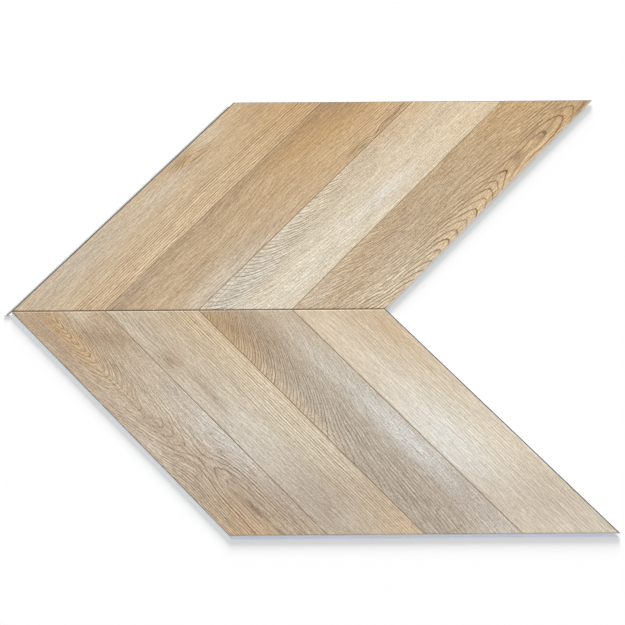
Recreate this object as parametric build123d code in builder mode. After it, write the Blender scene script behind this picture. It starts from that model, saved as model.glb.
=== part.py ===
"""Chevron rigid vinyl plank: a right-hand and a left-hand board, locked together along one seam.

Each board is a parallelogram of rigid vinyl with four printed strips, parted by V-grooves. Its left and low
edges carry a lower lip with a locking ridge. Its right and high edges are undercut, with a notch that drops
over the lip and ridge of the next board.

Frame: X runs along the seam, Y across it, Z up. The chevron points towards -X. The origin is at the bottom
centre of the whole plank's box.
"""

import os
from math import cos, radians, sin, tan

from build123d import *

# Driving dimensions, in millimetres and degrees
strip_width = 90.0  # across one printed strip
strips_per_board = 4
chevron_angle = 45.0  # between the strips and the seam
board_width = 300.0  # from the seam to the outer long edge
board_thickness = 6.0
edge_bevel = 0.8  # painted micro-bevel round the face of each board
groove_width = 1.4  # V-groove between two printed strips
groove_depth = 0.6
lip_reach = 4.4  # how far the lower lip stands out from the face's edge
lip_thickness = 1.8
ridge_width = 1.4  # locking ridge along the free edge of the lip
ridge_height = 0.9
ridge_lead = 0.3  # chamfer that leads the notch over the ridge
lock_clearance = 0.15  # between a lip with its ridge and the undercut above it

# Sizes that follow
angle = radians(chevron_angle)
strip_pitch = strip_width / sin(angle)  # one strip, measured along the seam
board_length = strips_per_board * strip_pitch
slant_run = board_width / tan(angle)  # how far a slanted edge runs along X
undercut_reach = lip_reach + lock_clearance
undercut_height = lip_thickness + lock_clearance
ridge_foot = lip_reach - ridge_width
ridge_top = lip_thickness + ridge_height
notch_reach = ridge_foot - lock_clearance
notch_depth = ridge_height

# Box of the two locked boards, with the seam on y = 0 and the chevron's point at x = 0
box_left = -lip_reach * (1 / sin(angle) + 1 / tan(angle))
box_right = board_length + slant_run
box_low = -board_width - lip_reach
box_high = board_width
centre_x = (box_left + box_right) / 2
centre_y = (box_low + box_high) / 2


def slanted_x(side, y):
    """X of the left slanted edge's line at this distance from the seam."""
    return side * y / tan(angle)


def outline(side, left, right, low, high):
    """Corners of a board's parallelogram, with each edge moved outwards by its own offset."""
    y_low = min(0, side * board_width) - low
    y_high = max(0, side * board_width) + high
    x_left = -left / sin(angle)
    x_right = board_length + right / sin(angle)
    corners = [
        (slanted_x(side, y_low) + x_left, y_low),
        (slanted_x(side, y_low) + x_right, y_low),
        (slanted_x(side, y_high) + x_right, y_high),
        (slanted_x(side, y_high) + x_left, y_high),
    ]
    return [(x - centre_x, y - centre_y) for x, y in corners]


def groove_plane(side, number):
    """Plane across a V-groove, beyond the low end of its run, with its local y pointing up."""
    start_y = min(0, side * board_width) - board_width
    start_x = number * strip_pitch + slanted_x(side, start_y)
    return Plane(
        origin=(start_x - centre_x, start_y - centre_y, board_thickness),
        x_dir=(-sin(angle), side * cos(angle), 0),
        z_dir=(side * cos(angle), sin(angle), 0),
    )


def make_board(side):
    """One board on its side of the seam: +1 is the right-hand board, -1 the left-hand one."""
    foot = outline(side, lip_reach, -undercut_reach, lip_reach, -undercut_reach)
    step = outline(side, 0, -undercut_reach, 0, -undercut_reach)
    face = outline(side, 0, 0, 0, 0)
    behind_ridges = outline(side, ridge_foot, lip_reach, ridge_foot, lip_reach)
    notch_front = outline(side, lip_reach, -notch_reach, lip_reach, -notch_reach)
    notch_back = outline(side, 2 * lip_reach, -undercut_reach, 2 * lip_reach, -undercut_reach)

    with BuildPart() as board:
        # Foot: lips stand out on the left and low edges, undercuts stand back on the other two
        with BuildSketch():
            Polygon(*foot, align=None)
        extrude(amount=lip_thickness)

        # Step between the lips' top and the undercuts' ceiling
        with BuildSketch(Plane.XY.offset(lip_thickness)):
            Polygon(*step, align=None)
        extrude(amount=lock_clearance)

        # Slab under the printed face
        with BuildSketch(Plane.XY.offset(undercut_height)):
            Polygon(*face, align=None)
        extrude(amount=board_thickness - undercut_height)

        # Micro-bevel round the face
        chamfer(board.faces().sort_by(Axis.Z)[-1].edges(), length=edge_bevel)

        # Locking ridge along the free edge of both lips
        with BuildSketch(Plane.XY.offset(lip_thickness)):
            Polygon(*foot, align=None)
            Polygon(*behind_ridges, align=None, mode=Mode.SUBTRACT)
        extrude(amount=ridge_height)
        crest = board.faces(Select.LAST).filter_by(Axis.Z).sort_by(Axis.Z)[-1]
        chamfer(crest.edges().filter_by(lambda edge: edge.length > 2 * lip_reach), length=ridge_lead)

        # Notch for the next board's ridge, in the ceiling of both undercuts
        with BuildSketch(Plane.XY.offset(undercut_height)):
            Polygon(*notch_front, align=None)
            Polygon(*notch_back, align=None, mode=Mode.SUBTRACT)
        extrude(amount=notch_depth, mode=Mode.SUBTRACT)

        # V-grooves between the printed strips
        for number in range(1, strips_per_board):
            with BuildSketch(groove_plane(side, number)):
                with BuildLine():
                    Polyline((-groove_width / 2, 0), (0, -groove_depth), (groove_width / 2, 0), close=True)
                make_face()
            extrude(amount=3 * board_width / sin(angle), mode=Mode.SUBTRACT)
    return board


os.makedirs("parts", exist_ok=True)
for name, side in (("right_hand_board", 1), ("left_hand_board", -1)):
    board = make_board(side)
    board.part.label = name
    export_step(board.part, f"parts/{name}.step")
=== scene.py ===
"""Chevron rigid vinyl plank: the finish of its two boards and the embossed oak strips on their faces."""

from math import pi, radians
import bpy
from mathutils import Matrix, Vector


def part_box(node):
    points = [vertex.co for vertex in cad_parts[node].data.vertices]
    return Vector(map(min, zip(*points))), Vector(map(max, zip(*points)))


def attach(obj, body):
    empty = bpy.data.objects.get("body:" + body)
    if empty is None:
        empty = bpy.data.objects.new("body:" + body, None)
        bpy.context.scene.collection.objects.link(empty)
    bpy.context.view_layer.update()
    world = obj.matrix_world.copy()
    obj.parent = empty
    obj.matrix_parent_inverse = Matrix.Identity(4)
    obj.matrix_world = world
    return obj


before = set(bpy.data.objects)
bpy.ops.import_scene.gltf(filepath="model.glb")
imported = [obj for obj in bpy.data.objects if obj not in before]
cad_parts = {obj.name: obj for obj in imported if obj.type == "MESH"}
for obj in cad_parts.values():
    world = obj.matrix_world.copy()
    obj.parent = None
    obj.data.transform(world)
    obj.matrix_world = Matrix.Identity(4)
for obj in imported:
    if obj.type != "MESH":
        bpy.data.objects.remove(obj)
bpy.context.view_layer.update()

from types import SimpleNamespace

import bpy
import numpy as np

MM = 0.001  # one millimetre, in Blender's metres

# Film on a printed strip, in millimetres
film_lift = 0.05  # height of the film above the board, at its rim
film_rim = 2.4  # width of the rim over which the embossing fades in
film_swell = 0.06  # rise of the film from its rim
ring_emboss = 0.05  # depth of the furrow along a growth ring
furrow_place = 0.6  # middle of the furrow, past the start of its ring
furrow_half = 0.6  # half width of the furrow
brush_emboss = 0.03  # depth of the brushed lines
brush_grains = ((34, 1.5, 0.6), (14, 0.9, 0.4))  # their length, width and share, coarse and fine
edge_shade = 0.8  # how far the paint of a dark edge reaches onto the film
steps_along = 240  # grid of one strip
steps_across = 200
level_face = 0.01  # corners of a board this close to its top belong to its face
seeds_per_strip = 10  # each strip draws its noise from seeds of its own
brush_seed = 5  # the seeds of its brushed lines start this far on

# Growth rings, in millimetres
course_reach = (-100.0, 620.0)  # stretch of a strip over which a course is worked out
course_ease = 50  # length over which the bends of a course are averaged
ring_bends = ((0.35, 90, 18), (0.07, 24, 8))  # slow and quick: by how many rings, and the length and width
widest_gap = 40.0  # the widest that neighbouring rings lie apart

# Printed ring lines, in millimetres, or as shares of the gap between two rings
line_width = 0.75
line_widening = 0.17  # share of the gap that is added to the width
line_onset = 0.15  # how softly a line starts
line_softening = 0.05  # share of the gap that is added to the onset
line_core = 0.45  # share of its width over which a line keeps its strength
lead_in = 0.2  # share of the gap that is shaded before a line
lead_in_strength = 0.2
line_ripple = 1.4  # how far lines ripple sideways
line_strengths = (0.6, 1.0)  # weakest and strongest ring
line_fading = (0.7, 1.0)  # weakest and strongest stretch of one line

# Grains of the print: the length and width of one, in millimetres
tone_grain = (90, 12)  # light and dark wood
patch_grain = (40, 6)  # broken edges of the tone patches
ripple_grain = (16, 4)  # ripples of the ring lines
fading_grain = (60, 9)  # where ring lines come and go
wander_grain = (120, 9)  # sideways wander of the brushed fibres
streak_grain = (34, 3.4)
speckle_grain = (2.4, 1.2)
pore_grain = (9, 0.55)
grain_roughness = 0.55  # of the noise that all of them are made of
grain_unit = 100.0  # the grain map counts in this many millimetres
grain_shift = 10.0  # how far apart two seeds lie along the grain map

# Brushed fibres: two combs of thin lines, the fine one in short dashes and the coarse one in long lines.
# A comb swings from minus to plus its strength while its noise rises from one value of onset to the other.
COMBS = (
    {"pitch": 2.45, "grain": (13, 2.8), "onset": (0.42, 0.58), "strength": 0.28},
    {"pitch": 3.15, "grain": (50, 4.2), "onset": (0.4, 0.6), "strength": 0.15},
)
comb_wander = 0.7  # how many of their pitches the lines wander sideways
ring_fibres = 3.0  # width across the strip that one ring stands for, where the fibres follow the rings
fibres_part = (3.8, 6.0)  # gaps between rings at which the fibres start to leave them and have left them
fibre_swing = (0.36, 0.42, 0.52)  # how far the fibres swing red, green and blue
streak_swing = (0.95, 1.05)  # darkest and lightest streak
pore_strength = 0.2
pore_on_line = 0.4  # strength that a ring line adds to its pores
line_hollow = 0.5  # depth of a ring line in the bump, with that of a pore as 1

# Finish of the print, and of the core and paint of the boards
print_gain = 0.90  # colours are given as they look in this light, and the print itself is this much darker
print_roughness = (0.62, 0.5)  # of dark and light streaks
print_bump = 0.05  # millimetres
core_roughness = (0.55, 0.75)
core_bump = 0.1  # millimetres
core_clouds = 0.96  # darkest clouds of the core, as a share of its colour
cloud_scale = 25.0  # of the slow clouds, to the metre
speckle_scale = 900.0  # of the fine mineral speckle, to the metre
speckle_strength = 0.35
bump_strength = 0.2
paint_start = 0.80  # depth below the face at which the paint of bevels and grooves starts, in millimetres
paint_full = 0.58  # depth at which it covers
paint_waver = 0.16  # how far that limit wavers
paint_shading = 0.3  # strength of the slow shading over the paint

# Painted shade in the channel of the lip below a left edge: a dark line, by its distance from the face, in
# millimetres
painted_lip_shade_start = 0.9
painted_lip_shade_end = {"right_hand_board": 2.4, "left_hand_board": 1.2}
painted_lip_shade_fade = 1.2  # it has faded out at this many times its end
painted_lip_shade_strength = 0.85

# View of the photograph, in millimetres, degrees and pixels
eye = (8.7, -253.2, 1312.4)
eye_tilt = 10.885  # back from straight down
eye_roll = -0.40
focal_pixels = 979.1
frame_pixels = 625.0
sensor_width = 36.0
sight_reach = 100.0  # metres

# Light
sky_strength = 0.72
sun_strength = 3.3
sun_height = 19.5  # degrees above the floor
sun_turn = 0.0  # degrees from straight behind the right-hand board, towards its left
sun_spread = 20.0  # angle across the soft source, in degrees

# Floor
floor_half = 40.0  # metres
floor_drop = 0.05  # below the boards, in millimetres
floor_white = 0.93
floor_roughness = 0.9
floor_shine = 0.1

# Each strip: its two wood tones, the strength of its fibres, the course of its growth rings and the patches
# where its print changes and where a painted sheen lies on it. Places are (along, across) in millimetres:
# along the strip from the seam, and across it from its left edge.
# ring_width, heart_line, heart_count and arch_point are courses of (along, value) points: the width of a
# ring away from the heart, the axis of the cathedral arches, the rings counted along that axis, and how
# pointed the arches are.
# Knots, lines and tones are patches of (along, across, half length, half width, strength). A knot adds
# rings, a line patch strengthens the ring lines over plain_lines, and a negative strength takes away.
# edge_paint is the strength of the dark paint at the left, right and outer edges.
STRIPS = {
    "right_hand_board": [
        {
            "light": (213, 191, 160),
            "dark": (204, 181, 149),
            "fibre": 0.72,
            "ring_width": [(0, 3.1)],
            "heart_line": [(0, -70), (300, -72), (514, -66)],
            "heart_count": [(0, 6)],
            "arch_point": [(0, 0)],
            "knots": [(322, 12, 26, 9, 2.6), (330, 92, 60, 14, 0.9)],
            "plain_lines": 0.08,
            "lines": [(270, 74, 420, 25, 1.0), (325, 14, 45, 16, 0.6)],
            "warm": [(500, 70, 110, 50, 0.5), (312, 12, 18, 5, 0.65), (338, 20, 18, 4, 0.45)],
            "honey": [(240, 80, 240, 26, 0.6)],
            "grey": [(95, 14, 90, 22, 0.25)],
            "brown": [
                (308, 10, 13, 5, 0.5), (336, 20, 18, 3, 0.3), (460, 30, 60, 12, 0.25),
                (490, 8, 50, 16, 0.42),
            ],
            "pale": [(358, 8, 30, 11, 0.4), (200, 80, 50, 14, 0.15)],
            "painted_sheen": [(120, 10, 100, 24, 0.12), (262, 24, 45, 9, 0.2)],
            "edge_paint": (1.0, 0, 1.0),
        },
        {
            "light": (206, 181, 147),
            "dark": (195, 169, 134),
            "fibre": 0.8,
            "ring_width": [(0, 3.0)],
            "heart_line": [(0, -40), (180, -30), (300, -46), (514, -40)],
            "heart_count": [(0, 12), (514, 10)],
            "arch_point": [(0, 0)],
            "knots": [(408, 90, 14, 8, 2.6), (440, 86, 12, 6, -1.8), (472, 90, 18, 8, 2.4)],
            "plain_lines": 0.12,
            "lines": [(445, 78, 66, 18, 0.95), (175, 50, 70, 7, 0.5), (230, 5, 200, 8, 0.4)],
            "warm": [(440, 14, 150, 50, 0.8), (500, 30, 70, 40, 0.3)],
            "honey": [(460, 76, 100, 26, 0.45)],
            "grey": [(30, 6, 60, 14, 0.3)],
            "brown": [(250, 3, 400, 17, 0.3), (480, 16, 90, 32, 0.65)],
            "painted_sheen": [(140, 88, 90, 24, 0.32)],
            "umber": [
                (398, 81, 12, 1.0, 0.5), (413, 85, 7, 1.1, 0.75), (430, 80, 9, 0.9, 0.4),
                (446, 84, 7, 1.2, 0.6), (462, 82, 10, 0.9, 0.5), (481, 84, 12, 0.9, 0.7),
                (499, 82, 12, 1.1, 0.75),
            ],
            "edge_paint": (0, 0, 1.0),
        },
        {
            "light": (232, 220, 197),
            "dark": (222, 209, 185),
            "fibre": 1.0,
            "ring_width": [(0, 1.7)],
            "heart_line": [(0, -9)],
            "heart_count": [(0, 45), (300, 6), (514, 5)],
            "arch_point": [(0, 0)],
            "knots": [(440, 40, 70, 14, 1.2)],
            "plain_lines": 0.08,
            "lines": [(140, 10, 200, 26, 0.78), (440, 42, 70, 12, 0.4)],
            "warm": [(440, 4, 140, 20, 0.25)],
            "honey": [(480, 56, 110, 40, 0.4)],
            "grey": [(55, 16, 90, 24, 0.36)],
            "pale": [(240, 58, 260, 16, 0.1), (440, 48, 80, 30, 0.25)],
            "painted_sheen": [(290, 64, 60, 10, 0.35), (130, 66, 80, 14, 0.12), (70, 18, 70, 14, 0.22)],
            "edge_paint": (0, 0, 1.0),
        },
        {
            "light": (208, 183, 149),
            "dark": (197, 171, 136),
            "fibre": 1.1,
            "ring_width": [(0, 4.2), (110, 3.6), (200, 2.3)],
            "heart_line": [
                (0, 75), (60, 88), (110, 97), (183, 89), (218, 83), (304, 79), (340, 74), (377, 73),
                (424, 75), (459, 76), (485, 75), (514, 76),
            ],
            "heart_count": [
                (0, 0.5), (100, 3), (183, 8), (218, 10), (256, 12), (277, 13), (304, 14.2), (325, 16),
                (342, 17.2), (366, 17.7), (380, 18.1), (424, 18.35), (459, 19), (485, 20), (514, 21),
            ],
            "arch_point": [(0, 0.6), (310, 0.6), (380, 1.4), (440, 1.4)],
            "knots": [(424, 64, 45, 13, -0.8)],
            "plain_lines": 0.25,
            "lines": [
                (210, 80, 140, 26, 0.8), (450, 70, 80, 26, 0.75), (350, 66, 40, 18, 0.45),
                (60, 80, 90, 22, 0.7), (260, 30, 300, 34, 0.2),
            ],
            "warm": [(410, 80, 90, 14, 0.3), (470, 12, 80, 40, 0.3), (510, 84, 40, 14, 0.3)],
            "honey": [(240, 84, 100, 12, 0.4), (60, 84, 60, 14, 0.3), (400, 84, 90, 9, 0.35)],
            "grey": [(200, 30, 110, 18, 0.2)],
            "brown": [
                (426, 73, 14, 5, 0.5), (377, 72, 12, 6, 0.5), (508, 84, 36, 12, 0.35),
                (491, 84, 16, 2.5, 0.5), (468, 66, 10, 3, 0.5), (452, 72, 9, 2.5, 0.3),
                (419, 60, 16, 3, 0.5),
            ],
            "pale": [(100, 64, 80, 28, 0.2), (150, 74, 90, 22, 0.3)],
            "painted_sheen": [(36, 8, 50, 16, 0.2)],
            "umber": [
                (377, 70, 7, 3, 0.32), (367, 66, 6, 1.3, 0.35), (357, 63.5, 7, 1.2, 0.35),
                (345, 61.5, 8, 1.2, 0.3), (369, 77.5, 5, 1.2, 0.25), (359, 80.5, 7, 1.2, 0.3),
                (347, 83, 8, 1.2, 0.3),
            ],
            "edge_paint": (0, 0, 1.0),
        },
    ],
    "left_hand_board": [
        {
            "light": (203, 186, 164),
            "dark": (191, 172, 149),
            "fibre": 1.0,
            "ring_width": [(0, 1.8)],
            "heart_line": [(0, 33), (180, 33), (285, 37), (345, 47), (440, 47), (514, 48)],
            "heart_count": [
                (0, 0.5), (60, 4), (172, 15), (200, 17.2), (258, 21), (308, 23.5), (324, 24), (341, 23),
                (378, 21.3), (440, 21.2), (514, 21),
            ],
            "arch_point": [(0, 1.4)],
            "knots": [(84, 40, 14, 8, 1.2), (150, 29, 16, 7, -1.0), (212, 42, 20, 9, 1.3)],
            "plain_lines": 0.22,
            "lines": [
                (110, 38, 90, 18, 0.4), (275, 38, 60, 16, 0.45), (410, 14, 140, 18, 0.75),
                (378, 47, 60, 20, 0.75), (420, 68, 120, 12, 0.6), (395, 47, 34, 9, -0.7),
            ],
            "warm": [(90, 30, 90, 13, 0.4), (490, 12, 90, 30, 0.5), (430, 44, 60, 30, 0.35)],
            "honey": [(450, 10, 120, 24, 0.35)],
            "grey": [(421, 48, 28, 8, 0.45), (466, 50, 14, 5, 0.3)],
            "brown": [
                (98, 50, 16, 10, 0.4), (117, 64, 16, 10, 0.45), (134, 78, 16, 10, 0.45),
                (40, 14, 50, 16, 0.3), (417, 47, 30, 6.5, 0.4), (350, 45, 8, 3, 0.35),
                (363, 56, 18, 2.5, 0.35),
            ],
            "pale": [(60, 62, 26, 18, 0.35), (240, 55, 60, 14, 0.2), (20, 84, 40, 14, 0.3)],
            "painted_sheen": [(335, 90, 105, 32, 0.52), (320, 6, 80, 14, 0.15)],
            "taupe": [(425, 49, 32, 8, -0.4)],
            "umber": [
                (389, 43, 8, 1.8, 0.3), (399, 44, 7, 2.4, 0.4), (407, 43, 6, 1.8, 0.35),
                (410, 48, 7, 2.2, 0.35), (418, 45.5, 8, 2.4, 0.45), (423, 50, 6, 1.8, 0.35),
                (430, 47, 8, 2.2, 0.45), (436, 52, 6, 1.8, 0.3), (442, 49, 7, 1.8, 0.35),
                (466, 50, 14, 2.2, 0.35), (370, 56, 18, 1.6, 0.3),
            ],
            "edge_paint": (0, 0, 0),
        },
        {
            "light": (211, 197, 175),
            "dark": (201, 186, 163),
            "fibre": 0.7,
            "ring_width": [(0, 3.1)],
            "heart_line": [(0, -80)],
            "heart_count": [(0, 5)],
            "arch_point": [(0, 0)],
            "knots": [(60, 0, 40, 16, 3.0), (112, 10, 16, 10, 1.4)],
            "plain_lines": 0.08,
            "lines": [(240, 72, 360, 25, 0.85), (60, 10, 60, 14, 0.35), (180, 22, 50, 5, 0.4)],
            "honey": [(170, 82, 190, 26, 0.5), (480, 76, 80, 30, 0.6)],
            "grey": [(40, 18, 70, 20, 0.3), (200, 8, 90, 12, 0.12), (400, 20, 80, 40, 0.3)],
            "brown": [(112, 14, 14, 8, 0.65), (178, 22, 40, 3, 0.45)],
            "pale": [(290, 74, 160, 26, 0.6), (40, 8, 70, 14, 0.25)],
            "painted_sheen": [(268, 12, 76, 40, 0.3)],
            "taupe": [(420, 10, 70, 24, 0.12)],
            "edge_paint": (0, 0, 0),
        },
        {
            "light": (199, 188, 171),
            "dark": (188, 176, 158),
            "fibre": 0.92,
            "ring_width": [(0, 1.5)],
            "heart_line": [(0, -10), (514, -14)],
            "heart_count": [(0, 10), (60, 34), (150, 51), (235, 64), (300, 68), (514, 74)],
            "arch_point": [(0, 0)],
            "knots": [],
            "plain_lines": 0.12,
            "lines": [(110, 12, 190, 34, 0.65), (360, 26, 180, 30, 0.4)],
            "warm": [(40, 10, 80, 22, 0.36), (150, 0, 110, 10, 0.16)],
            "honey": [(180, 4, 90, 8, 0.22)],
            "grey": [(420, 10, 110, 40, 0.2)],
            "brown": [(90, 38, 70, 20, 0.25), (60, 20, 50, 20, 0.2)],
            "pale": [(150, 76, 80, 16, 0.2), (500, 60, 50, 40, 0.4)],
            "painted_sheen": [
                (160, 64, 40, 9, 0.2), (318, 71, 100, 14, 0.42), (350, 86, 120, 26, 0.34),
                (500, 84, 50, 24, 0.2),
            ],
            "edge_paint": (0, 0, 0),
        },
        {
            "light": (229, 216, 195),
            "dark": (220, 206, 184),
            "fibre": 0.52,
            "ring_width": [(0, 3.2)],
            "heart_line": [(0, 150), (514, 138)],
            "heart_count": [(0, 8), (514, 12)],
            "arch_point": [(0, 0)],
            "knots": [(350, 16, 5, 2.5, 1.6)],
            "plain_lines": 0.08,
            "lines": [(240, 58, 260, 26, 0.3)],
            "warm": [(110, 76, 110, 24, 0.3)],
            "brown": [(350, 16, 2.2, 1.3, 0.9)],
            "pale": [(320, 40, 110, 38, 0.9), (490, 60, 70, 50, 0.4), (80, 88, 90, 16, 0.15)],
            "painted_sheen": [(270, 18, 90, 36, 0.65), (505, 56, 50, 34, 0.22)],
            "taupe": [(500, 40, 50, 40, 0.08)],
            "edge_paint": (0, 1.0, 0),
        },
    ],
}

# Tones laid over a strip's own colours in this order, as they look on a screen
TONES = {
    "warm": (206, 166, 110),
    "honey": (238, 208, 166),
    "grey": (172, 163, 151),
    "brown": (160, 130, 100),
    "pale": (236, 226, 204),
    # Pale bluish patches of painted sheen: a soft highlight of the light on the matt print, laid into its
    # colour
    "painted_sheen": (230, 231, 228),
    "taupe": (176, 155, 140),
    "umber": (116, 92, 68),
}

# Bands of tone that run over all the strips of a board: (tone, distance from the seam, half width, strength)
BANDS = {
    "right_hand_board": [("warm", 340, 150, 0.45)],
    "left_hand_board": [("warm", -10, 80, 0.25), ("taupe", 256, 50, 0.36)],
}

# Core and left lip of a board, and the paint in its grooves and on the bevels of its edges. The left-hand
# board's blue core and lighter lip are painted sky light on lips in shade, the right-hand board's near-white
# right bevel is a painted highlight, and the left colour also paints the shade on the lip below the left
# edge.
PAINT = {
    "right_hand_board": {
        "core": (246, 247, 248),
        "lip": (240, 240, 240),
        "groove": (188, 166, 136),
        "seam": (140, 120, 94),
        "outer": (84, 70, 52),
        "left": (44, 38, 32),
        # Near-white right bevel: a painted highlight on a bevel that lies in shade
        "right": (250, 240, 222),
    },
    "left_hand_board": {
        # Blue tint of the core and lighter lip: painted sky light on this board's lips, which lie in shade
        "core": (232, 239, 249),
        "lip": (246, 251, 255),
        "groove": (178, 157, 130),
        "seam": (140, 120, 94),
        "outer": (212, 202, 188),
        "left": (150, 138, 122),
        "right": (44, 38, 32),
    },
}

# Stains that darken the colour under them, and colours laid over it
RING_STAIN = (138, 105, 12)
PORE_STAIN = (150, 124, 98)
FILM_EDGE = (48, 42, 36)
CORE_SPECKLE = (196, 201, 208)
PAINT_SHADE = (120, 102, 80)


# Oak strips


def eased(share):
    """A share from 0 to 1 with a soft start and end: three times its square less twice its cube."""
    return share**2 * (3 - 2 * share)


def lattice_noise(x, y, seed):
    """Smooth noise from -1 to 1: random heights on whole-number points, blended by eased steps in between."""
    size = 256
    heights = np.random.default_rng(seed).uniform(-1, 1, (size, size))
    column, row = np.floor(x).astype(int), np.floor(y).astype(int)
    right, up = eased(x - column), eased(y - row)

    def corner(across, above):
        return heights[(column + across) % size, (row + above) % size]

    low = corner(0, 0) * (1 - right) + corner(1, 0) * right
    high = corner(0, 1) * (1 - right) + corner(1, 1) * right
    return low * (1 - up) + high * up


def eased_course(points, along):
    """Value along a course of (place, value) points: straight between them, then averaged over a short length
    with a bell-shaped weight."""
    places = np.arange(*course_reach)
    weights = np.hanning(course_ease + 1)
    straight = np.pad(np.interp(places, *zip(*points)), course_ease // 2, mode="edge")
    return np.interp(along, places, np.convolve(straight, weights / weights.sum(), "valid"))


def soft_patches(patches, along, across, sharpness=1):
    """Sum of soft ovals: each is its strength times exp(-distance squared), in its own half sizes. A
    sharpness over 1 raises the squared distance to that power, which flattens the top and steepens the
    edge."""
    total = np.zeros_like(along)
    for centre, middle, half_length, half_width, strength in patches:
        distance = ((along - centre) / half_length) ** 2 + ((across - middle) / half_width) ** 2
        total += strength * np.exp(-(distance**sharpness))
    return total


def ring_count(recipe, along, across, seed):
    """Growth rings counted outwards from the heart: the long side of a right triangle whose short sides are
    the distance from the heart line in ring widths, plus the arch point, and the count along that line.
    Equal counts draw cathedral arches over the heart line and straight grain away from it. Knots add rings
    of their own, and noise bends everything a little."""
    courses = ("heart_line", "ring_width", "heart_count", "arch_point")
    heart, ring_width, count, point = (eased_course(recipe[course], along) for course in courses)
    rings = np.hypot(np.abs(across - heart) / ring_width + point, count)
    rings += soft_patches(recipe["knots"], along, across)
    for number, (sway, length, width) in enumerate(ring_bends):
        rings += sway * lattice_noise(along / length, across / width, seed + number)
    return rings


def embossing(since, marks, along, across, seed):
    """Height of the film's relief: a bell-shaped furrow along the start of every ring, as deep as its line is
    marked, and brushed lines of noise along the strip."""
    furrow = np.exp(-(((since - furrow_place) / furrow_half) ** 2))
    brushed = np.zeros_like(along)
    for number, (length, width, share) in enumerate(brush_grains):
        brushed += share * lattice_noise(along / length, across / width, seed + number)
    return brush_emboss * brushed - ring_emboss * furrow * marks


def strip_lands(board):
    """The lands between a board's grooves, read from the highest corners of its mesh: for each land its four
    corners, left and right on the seam's side and left and right on the outer side, in millimetres."""
    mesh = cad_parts[board].data
    places = np.zeros(len(mesh.vertices) * 3, np.float32)
    mesh.vertices.foreach_get("co", places)
    places = places.reshape(-1, 3).astype(float) / MM
    top = places[:, 2].max()
    face = np.unique(places[places[:, 2] > top - level_face].round(3), axis=0)
    middle = (face[:, 1].min() + face[:, 1].max()) / 2
    low, high = face[face[:, 1] < middle], face[face[:, 1] > middle]
    seam, outer = (low, high) if abs(low[:, 1].mean()) < abs(high[:, 1].mean()) else (high, low)
    seam, outer = seam[np.argsort(seam[:, 0])], outer[np.argsort(outer[:, 0])]
    return [(seam[i], seam[i + 1], outer[i], outer[i + 1]) for i in range(0, len(seam), 2)]


def land_grid(corners):
    """Grid of points on a land, blended between its four corners by two shares u and v, with each point's
    place along and across the strip and its distances from the land's four edges, in millimetres."""
    u, v = np.meshgrid(np.linspace(0, 1, steps_along + 1), np.linspace(0, 1, steps_across + 1), indexing="ij")
    shares = ((1 - u) * (1 - v), (1 - u) * v, u * (1 - v), u * v)
    ground = sum(np.multiply.outer(share, corner) for share, corner in zip(shares, corners))
    seam_left, seam_right, outer_left, _ = corners
    lengthwise = (outer_left - seam_left) / np.linalg.norm(outer_left - seam_left)
    crosswise = seam_right - seam_left - np.dot(seam_right - seam_left, lengthwise) * lengthwise
    crosswise /= np.linalg.norm(crosswise)
    along, across = (ground - seam_left) @ lengthwise, (ground - seam_left) @ crosswise
    return SimpleNamespace(
        u=u,
        v=v,
        ground=ground,
        along=along,
        across=across,
        from_left=across,
        from_right=across.max() - across,
        from_seam=np.abs(ground[..., 1] - seam_left[1]),
        from_outer=np.abs(ground[..., 1] - outer_left[1]),
    )


def ring_fields(recipe, grid, seed):
    """Rings counted at each point, the gap between neighbouring ones, which is one over how fast the count
    changes in a millimetre, and how strongly their lines are marked."""
    rings = ring_count(recipe, grid.along, grid.across, seed)
    pace_along = ring_count(recipe, grid.along + 1, grid.across, seed) - rings
    pace_across = ring_count(recipe, grid.along, grid.across + 1, seed) - rings
    gap = 1 / np.maximum(np.hypot(pace_along, pace_across), 1 / widest_gap)
    marks = recipe["plain_lines"] + soft_patches(recipe["lines"], grid.along, grid.across, sharpness=2)
    return {"rings": rings, "ring_gap": gap, "lines": np.clip(marks, 0, 1)}


def paint_fields(recipe, bands, grid):
    """Strength at each point of the dark edge paint, which falls off as exp(-distance to the fourth power),
    and of every tone: its patches on this strip and its bell-shaped bands along the seam."""
    edge = np.zeros_like(grid.along)
    for strength, reach in zip(recipe["edge_paint"], (grid.from_left, grid.from_right, grid.from_outer)):
        edge = np.maximum(edge, strength * np.exp(-((reach / edge_shade) ** 4)))
    fields = {"edge": edge}
    for tone in TONES:
        fields[tone] = soft_patches(recipe.get(tone, []), grid.along, grid.across)
    for tone, distance, half_width, strength in bands:
        fields[tone] += strength * np.exp(-(((grid.from_seam - distance) / half_width) ** 2))
    return fields


def closed_sheet(name, upper, ground):
    """Mesh of a grid of upper points, with walls from its border down to the ground and one face below, and
    the grid point that each of its vertices belongs to. The upper grid comes first, then the foot of its
    border."""
    rows, columns = upper.shape[:2]
    index = np.arange(rows * columns).reshape(rows, columns)
    border = np.concatenate([index[0, :-1], index[:-1, -1], index[-1, :0:-1], index[:0:-1, 0]])
    foot = index.size + np.arange(len(border))
    points = np.concatenate([upper.reshape(-1, 3), ground.reshape(-1, 3)[border]]) * MM
    quads = np.stack([index[:-1, :-1], index[1:, :-1], index[1:, 1:], index[:-1, 1:]], -1).reshape(-1, 4)
    walls = np.stack([border, np.roll(border, -1), np.roll(foot, -1), foot], -1)
    faces, lower_side = np.concatenate([quads, walls]), foot

    # Where the grid runs the other way round, all faces are turned outwards
    a, b, c = points[faces[0, :3]]
    if np.cross(b - a, c - a)[2] < 0:
        faces, lower_side = faces[:, ::-1], foot[::-1]

    mesh = bpy.data.meshes.new(name)
    mesh.from_pydata(points.tolist(), [], faces.tolist() + [lower_side.tolist()])
    mesh.polygons.foreach_set("use_smooth", np.arange(len(mesh.polygons)) < len(quads))
    return mesh, np.concatenate([index.ravel(), border])


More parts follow.
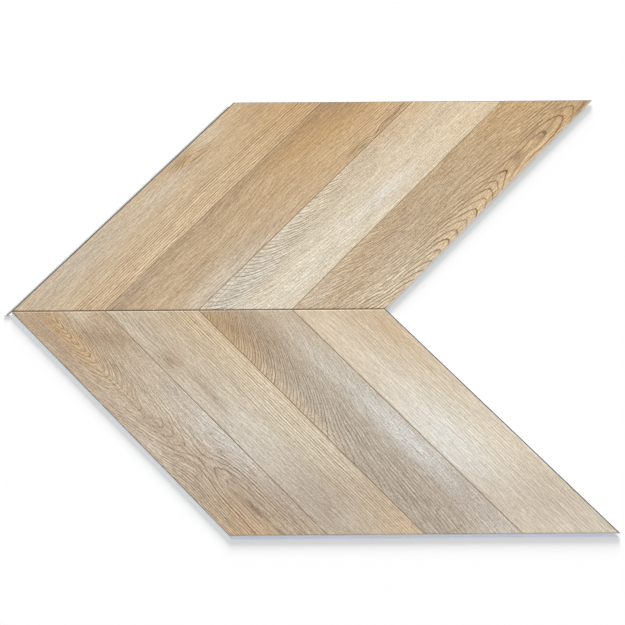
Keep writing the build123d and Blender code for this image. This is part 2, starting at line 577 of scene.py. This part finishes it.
def film_mesh(name, corners, recipe, bands, seed):
    """Closed film over one land. Its upper side is a grid of points blended between the land's corners and
    raised by the embossing, which fades out at the rim. Its lower side lies on the board. The grain map and
    the fields of rings and tones go with it."""
    grid = land_grid(corners)
    fields = ring_fields(recipe, grid, seed) | paint_fields(recipe, bands, grid)
    since = (fields["rings"] - np.floor(fields["rings"])) * fields["ring_gap"]
    relief = embossing(since, fields["lines"], grid.along, grid.across, seed + brush_seed)
    from_rim = np.minimum.reduce([grid.from_left, grid.from_right, grid.from_seam, grid.from_outer])
    upper = grid.ground.copy()
    upper[..., 2] += film_lift + eased(np.clip(from_rim / film_rim, 0, 1)) * (film_swell + relief)
    mesh, grid_point = closed_sheet(name, upper, grid.ground)

    corner_point = np.zeros(len(mesh.loops), np.int32)
    mesh.loops.foreach_get("vertex_index", corner_point)
    maps = {
        "grain": (grid.along / grain_unit + grain_shift * seed, grid.across / grain_unit),
        "OFBake": (grid.u, grid.v),
    }
    for label, (first, second) in maps.items():
        values = np.stack([first.ravel(), second.ravel()], -1)[grid_point][corner_point]
        layer = mesh.uv_layers.new(name=label)
        layer.data.foreach_set("uv", values.astype(np.float32).ravel())
    for label, values in fields.items():
        layer = mesh.attributes.new(label, "FLOAT", "POINT")
        layer.data.foreach_set("value", values.ravel()[grid_point].astype(np.float32))
    return mesh


# Shader helpers

FLOAT, COLOUR, VECTOR = "NodeSocketFloat", "NodeSocketColor", "NodeSocketVector"


def srgb(red, green, blue, gain=1.0):
    """A colour given as 0 to 255 screen values, as the linear colour that shaders take."""
    screen = np.array([red, green, blue]) / 255
    linear = np.where(screen <= 0.04045, screen / 12.92, ((screen + 0.055) / 1.055) ** 2.4)
    return (*(gain * linear).tolist(), 1.0)


def node(tree, kind, inputs=None, **settings):
    """A new node with its settings, and its inputs set to numbers or joined to other nodes' outputs."""
    made = tree.nodes.new(kind)
    for key, value in settings.items():
        setattr(made, key, value)
    for key, value in (inputs or {}).items():
        if isinstance(value, bpy.types.NodeSocket):
            tree.links.new(value, made.inputs[key])
        else:
            made.inputs[key].default_value = value
    return made


def maths(tree, operation, first, second=0.0, third=0.0):
    """Result of a Math node."""
    return node(tree, "ShaderNodeMath", {0: first, 1: second, 2: third}, operation=operation).outputs[0]


def colour_mix(tree, factor, under, over, blend="MIX"):
    """Result of a colour Mix node."""
    mixed = node(tree, "ShaderNodeMix", {0: factor, 6: under, 7: over}, data_type="RGBA", blend_type=blend)
    return mixed.outputs[2]


def remap(tree, value, low, high, to_low=0.0, to_high=1.0):
    """A value eased from one range into another."""
    inputs = {"Value": value, "From Min": low, "From Max": high, "To Min": to_low, "To Max": to_high}
    return node(tree, "ShaderNodeMapRange", inputs, interpolation_type="SMOOTHSTEP").outputs[0]


def stretched_noise(tree, grain_map, grain, detail=2.0):
    """Noise with grains of this length and width, on a grain map."""
    scale = (grain_unit / grain[0], grain_unit / grain[1], 1)
    scaled = node(tree, "ShaderNodeMapping", {"Vector": grain_map, "Scale": scale}).outputs[0]
    inputs = {"Vector": scaled, "Scale": 1.0, "Detail": detail, "Roughness": grain_roughness}
    return node(tree, "ShaderNodeTexNoise", inputs, noise_dimensions="2D").outputs[0]


def bumped(tree, shader, height, distance):
    """Joins a height, up to this many millimetres, to a shader's normal."""
    inputs = {"Strength": bump_strength, "Distance": distance * MM, "Height": height}
    tree.links.new(node(tree, "ShaderNodeBump", inputs).outputs[0], shader.inputs["Normal"])


def new_group(name, inputs, outputs):
    """An empty shader group with named sockets, and its input and output nodes' sockets."""
    tree = bpy.data.node_groups.new(name, "ShaderNodeTree")
    for label, kind in inputs.items():
        tree.interface.new_socket(label, in_out="INPUT", socket_type=kind)
    for label, kind in outputs.items():
        tree.interface.new_socket(label, in_out="OUTPUT", socket_type=kind)
    return tree, tree.nodes.new("NodeGroupInput").outputs, tree.nodes.new("NodeGroupOutput").inputs


def grouped(tree, group, inputs):
    """Outputs of a placed shader group with its inputs set."""
    return node(tree, "ShaderNodeGroup", inputs, node_tree=group).outputs


def new_material(name):
    """A material with a Principled BSDF, its node tree and the BSDF."""
    material = bpy.data.materials.new(name)
    material.use_nodes = True
    return material, material.node_tree, material.node_tree.nodes["Principled BSDF"]


# Oak print


def oak_tone_group():
    """Ground colour of a strip: light and dark wood mixed by slow noise, then the tones, among them a painted
    sheen, laid over in patches whose edges a finer noise breaks up."""
    inputs = {"Grain": VECTOR, "Light": COLOUR, "Dark": COLOUR, **{tone: FLOAT for tone in TONES}}
    tree, given, result = new_group("oak tone", inputs, {"Colour": COLOUR})
    slow = stretched_noise(tree, given["Grain"], tone_grain, 3.0)
    colour = colour_mix(tree, remap(tree, slow, 0.3, 0.7), given["Dark"], given["Light"])
    broken = remap(tree, stretched_noise(tree, given["Grain"], patch_grain, 3.0), 0.25, 0.75, 0.8, 1.2)
    for tone, screen in TONES.items():
        factors = {0: given[tone], 1: broken}
        amount = node(tree, "ShaderNodeMath", factors, operation="MULTIPLY", use_clamp=True).outputs[0]
        colour = colour_mix(tree, amount, colour, srgb(*screen, print_gain))
    tree.links.new(colour, result["Colour"])
    return tree


def ring_lines_group():
    """Growth-ring lines: each starts sharply where a ring starts and is about a millimetre wide, more where
    the rings lie further apart, with a faint shade leading up to it. Each ring has its own strength, and
    each line comes and goes along its length."""
    inputs = {"Grain": VECTOR, "Rings": FLOAT, "Gap": FLOAT, "Marks": FLOAT}
    tree, given, result = new_group("ring lines", inputs, {"Line": FLOAT})
    gap = given["Gap"]
    noise = stretched_noise(tree, given["Grain"], ripple_grain)
    ripple = maths(tree, "MULTIPLY_ADD", noise, line_ripple, -line_ripple / 2)
    rings = maths(tree, "ADD", given["Rings"], maths(tree, "DIVIDE", ripple, gap))

    # Distances from the start of this ring and to the start of the next
    since = maths(tree, "MULTIPLY", maths(tree, "FRACT", rings), gap)
    until = maths(tree, "SUBTRACT", gap, since)
    width = maths(tree, "MULTIPLY_ADD", gap, line_widening, line_width)
    onset = remap(tree, since, 0.0, maths(tree, "MULTIPLY_ADD", gap, line_softening, line_onset))
    fade = remap(tree, since, maths(tree, "MULTIPLY", width, line_core), width, 1.0, 0.0)
    shade = remap(tree, until, 0.0, maths(tree, "MULTIPLY", gap, lead_in), lead_in_strength, 0.0)

    number = maths(tree, "FLOOR", rings)
    strengths = []
    for ring in (number, maths(tree, "ADD", number, 1.0)):
        own = node(tree, "ShaderNodeTexWhiteNoise", {"W": ring}, noise_dimensions="1D").outputs["Value"]
        strengths.append(remap(tree, own, 0.0, 1.0, *line_strengths))
    line = maths(tree, "MULTIPLY", maths(tree, "MULTIPLY", onset, fade), strengths[0])
    line = maths(tree, "MAXIMUM", line, maths(tree, "MULTIPLY", shade, strengths[1]))
    fading = remap(tree, stretched_noise(tree, given["Grain"], fading_grain), 0.3, 0.65, *line_fading)
    marked = maths(tree, "MULTIPLY", given["Marks"], fading)
    tree.links.new(maths(tree, "MULTIPLY", line, marked), result["Line"])
    return tree


def brushed_grain_group():
    """Brushed fibres: combs of thin lines that run with the rings where these lie close and along the strip
    where they spread out. Each comb is a steepened sine wave that comes and goes in dashes of its own. A
    fine speckle, soft streaks and pores go with them."""
    inputs = {"Grain": VECTOR, "Rings": FLOAT, "Gap": FLOAT}
    outputs = {"Fine": FLOAT, "Streak": FLOAT, "Pores": FLOAT}
    tree, given, result = new_group("brushed grain", inputs, outputs)
    along, across, _ = node(tree, "ShaderNodeSeparateXYZ", {0: given["Grain"]}).outputs
    with_rings = maths(tree, "MULTIPLY", given["Rings"], ring_fibres / grain_unit)
    wander = maths(tree, "MULTIPLY", stretched_noise(tree, given["Grain"], wander_grain, 1.0), comb_wander)
    courses = []
    for place in (with_rings, across):
        course = node(tree, "ShaderNodeCombineXYZ", {0: along, 1: place}).outputs[0]
        brushed = 0.0
        for comb in COMBS:
            noise = stretched_noise(tree, course, comb["grain"], 1.0)
            strength = remap(tree, noise, *comb["onset"], -comb["strength"], comb["strength"])
            turns = maths(tree, "MULTIPLY_ADD", place, grain_unit / comb["pitch"], wander)
            wave = maths(tree, "SINE", maths(tree, "MULTIPLY", turns, 2 * pi))
            brushed = maths(tree, "MULTIPLY_ADD", remap(tree, wave, -0.5, 0.5, -1.0, 1.0), strength, brushed)
        courses.append(brushed)
    parted = remap(tree, given["Gap"], *fibres_part)
    brushed = maths(tree, "MULTIPLY_ADD", maths(tree, "SUBTRACT", courses[1], courses[0]), parted, courses[0])
    speckle = remap(tree, stretched_noise(tree, given["Grain"], speckle_grain, 1.0), 0.38, 0.62, 0.32, 0.68)
    pores = remap(tree, stretched_noise(tree, given["Grain"], pore_grain, 1.0), 0.6, 0.72)
    tree.links.new(maths(tree, "ADD", brushed, speckle), result["Fine"])
    tree.links.new(stretched_noise(tree, given["Grain"], streak_grain), result["Streak"])
    tree.links.new(pores, result["Pores"])
    return tree


oak_tone, ring_lines, brushed_grain = oak_tone_group(), ring_lines_group(), brushed_grain_group()


def oak_print(name, recipe):
    """Printed oak under a matt wear layer: tone with a painted sheen, fibres, ring lines and pores, with
    relief from the same masks."""
    material, tree, shader = new_material(name)
    grain = node(tree, "ShaderNodeUVMap", uv_map="grain").outputs[0]
    field = {}
    for label in ("rings", "ring_gap", "lines", "edge", *TONES):
        field[label] = node(tree, "ShaderNodeAttribute", attribute_name=label).outputs["Fac"]
    tone_inputs = {tone: field[tone] for tone in TONES}
    tone_inputs["Light"] = srgb(*recipe["light"], print_gain)
    tone_inputs["Dark"] = srgb(*recipe["dark"], print_gain)
    ring_inputs = {"Grain": grain, "Rings": field["rings"], "Gap": field["ring_gap"]}
    colour = grouped(tree, oak_tone, {"Grain": grain, **tone_inputs})["Colour"]
    line = grouped(tree, ring_lines, {**ring_inputs, "Marks": field["lines"]})["Line"]
    fibres = grouped(tree, brushed_grain, ring_inputs)

    # Fibres brighten and darken the tone evenly, and the lines, pores and painted edge stain it
    swing = recipe["fibre"] * np.array(fibre_swing)
    fibre_gain = colour_mix(tree, fibres["Fine"], (*(1 - swing), 1), (*(1 + swing), 1))
    colour = colour_mix(tree, 1.0, colour, fibre_gain, "MULTIPLY")
    streak_gain = remap(tree, fibres["Streak"], 0.25, 0.75, *streak_swing)
    colour = colour_mix(tree, 1.0, colour, streak_gain, "MULTIPLY")
    colour = colour_mix(tree, line, colour, srgb(*RING_STAIN), "MULTIPLY")
    pore_depth = maths(tree, "MULTIPLY_ADD", line, pore_on_line, pore_strength)
    pores = maths(tree, "MULTIPLY", fibres["Pores"], pore_depth)
    colour = colour_mix(tree, pores, colour, srgb(*PORE_STAIN), "MULTIPLY")
    colour = colour_mix(tree, field["edge"], colour, srgb(*FILM_EDGE))
    tree.links.new(colour, shader.inputs["Base Color"])
    tree.links.new(remap(tree, fibres["Streak"], 0.3, 0.7, *print_roughness), shader.inputs["Roughness"])
    hollows = maths(tree, "MULTIPLY_ADD", line, line_hollow, fibres["Pores"])
    bumped(tree, shader, maths(tree, "SUBTRACT", fibres["Fine"], hollows), print_bump)
    return material


# Core and paint of the boards


def rigid_core(name, board, lands):
    """Pale rigid vinyl with slow clouds and a fine mineral speckle. Past the left edge the lip has a colour
    of its own and a painted shade, a dark line in its channel below the wall. Paint covers the micro-bevels
    and the V-grooves, and changes its colour at the slanted lines of the first and last lands and at the
    straight lines of the long edges. The left-hand board's blue core and lighter lip are painted sky light on
    lips in shade, and the right-hand board's near-white right bevel is a painted highlight."""
    colours = {part: srgb(*screen) for part, screen in PAINT[board].items()}
    material, tree, shader = new_material(name)
    place = node(tree, "ShaderNodeTexCoord").outputs["Object"]
    x, y, z = node(tree, "ShaderNodeSeparateXYZ", {0: place}).outputs
    fine, slow = (
        node(tree, "ShaderNodeTexNoise", {"Vector": place, "Scale": scale, "Detail": 3.0}).outputs[0]
        for scale in (speckle_scale, cloud_scale)
    )

    # Distances from the face's edges, in metres. Those from slanted edges are measured along X.
    first, last = lands[0], lands[-1]
    seam_y, outer_y = first[0][1] * MM, first[2][1] * MM
    face_width = abs(outer_y - seam_y)
    side = 1.0 if outer_y > seam_y else -1.0
    slant = (first[2][0] - first[0][0]) * MM / face_width
    square_to_x = (1 + slant**2) ** 0.5
    from_seam = maths(tree, "MULTIPLY_ADD", y, side, -side * seam_y)
    slid = maths(tree, "MULTIPLY_ADD", from_seam, -slant, x)
    off_left = maths(tree, "SUBTRACT", first[0][0] * MM, slid)
    on_lip = maths(tree, "GREATER_THAN", off_left, 0.0)

    clouds = remap(tree, slow, 0.3, 0.7)
    # On the left-hand board the core's blue tint and the lighter lip are painted sky light on lips in shade
    core = colour_mix(tree, clouds, srgb(*PAINT[board]["core"], core_clouds), colours["core"])
    core = colour_mix(tree, on_lip, core, colours["lip"])
    speckle = remap(tree, fine, 0.56, 0.7, 0.0, speckle_strength)
    core = colour_mix(tree, speckle, core, srgb(*CORE_SPECKLE))
    # Painted shade: a dark line, in the left edge's colour, on the lip in the channel below the wall of the
    # left edge
    line_end = painted_lip_shade_end[board] * square_to_x * MM
    past_wall = maths(tree, "GREATER_THAN", off_left, painted_lip_shade_start * square_to_x * MM)
    before_end = remap(tree, off_left, line_end, painted_lip_shade_fade * line_end, painted_lip_shade_strength, 0.0)
    core = colour_mix(tree, maths(tree, "MULTIPLY", past_wall, before_end), core, colours["left"])

    edges = {
        "seam": maths(tree, "LESS_THAN", from_seam, 0.0),
        "outer": maths(tree, "GREATER_THAN", from_seam, face_width),
        "left": on_lip,
        "right": maths(tree, "GREATER_THAN", slid, last[1][0] * MM),
    }
    # The right-hand board's near-white right bevel paint is a painted highlight
    paint = colours["groove"]
    for edge, reached in edges.items():
        paint = colour_mix(tree, reached, paint, colours[edge])
    shading = remap(tree, slow, 0.35, 0.65, 0.0, paint_shading)
    paint = colour_mix(tree, shading, paint, srgb(*PAINT_SHADE))

    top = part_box(board)[1].z
    wavering = maths(tree, "MULTIPLY_ADD", fine, paint_waver * MM, z)
    painted = remap(tree, wavering, top - paint_start * MM, top - paint_full * MM)
    tree.links.new(colour_mix(tree, painted, core, paint), shader.inputs["Base Color"])
    tree.links.new(remap(tree, fine, 0.3, 0.7, *core_roughness), shader.inputs["Roughness"])
    bumped(tree, shader, fine, core_bump)
    return material


# Boards and their strips
scene = bpy.context.scene
seed = 0
for board, recipes in STRIPS.items():
    cad_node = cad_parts[board]
    hand = board.split("_")[0]
    lands = strip_lands(board)
    cad_node.data.materials.clear()
    cad_node.data.materials.append(rigid_core(f"{hand} core", board, lands))
    for number, (corners, recipe) in enumerate(zip(lands, recipes), 1):
        seed += seeds_per_strip
        name = f"{hand}_strip_{number}"
        strip = bpy.data.objects.new(name, film_mesh(name, corners, recipe, BANDS[board], seed))
        scene.collection.objects.link(strip)
        strip.data.materials.append(oak_print(f"{hand} oak {number}", recipe))
        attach(strip, "root")

# Floor
floor_corners = floor_half * np.array([(-1, -1, 0), (1, -1, 0), (1, 1, 0), (-1, 1, 0)])
floor_corners[:, 2] = -floor_drop * MM
floor_mesh = bpy.data.meshes.new("floor")
floor_mesh.from_pydata(floor_corners.tolist(), [], [(0, 1, 2, 3)])
floor = bpy.data.objects.new("floor", floor_mesh)
scene.collection.objects.link(floor)
white_floor, _, floor_shader = new_material("white floor")
floor_shader.inputs["Base Color"].default_value = (floor_white, floor_white, floor_white, 1)
floor_shader.inputs["Roughness"].default_value = floor_roughness
floor_shader.inputs["Specular IOR Level"].default_value = floor_shine
floor_mesh.materials.append(white_floor)

# Light: an even sky and one soft source from behind the right-hand board
scene.world = bpy.data.worlds.new("studio")
scene.world.use_nodes = True
sky = scene.world.node_tree.nodes["Background"]
sky.inputs["Color"].default_value = (1, 1, 1, 1)
sky.inputs["Strength"].default_value = sky_strength
sun_data = bpy.data.lights.new("soft source", "SUN")
sun_data.energy = sun_strength
sun_data.angle = radians(sun_spread)
sun = bpy.data.objects.new("soft source", sun_data)
sun.rotation_euler = (-radians(90 - sun_height), 0, radians(sun_turn))
scene.collection.objects.link(sun)
scene.view_settings.view_transform = "Standard"

# Camera
camera_data = bpy.data.cameras.new("camera")
camera_data.sensor_width = sensor_width
camera_data.lens = focal_pixels / frame_pixels * sensor_width
camera_data.clip_end = sight_reach
camera = bpy.data.objects.new("camera", camera_data)
camera.location = [length * MM for length in eye]
camera.rotation_euler = (radians(eye_tilt), 0, radians(eye_roll))
scene.collection.objects.link(camera)
scene.camera = camera

bpy.context.view_layer.update()
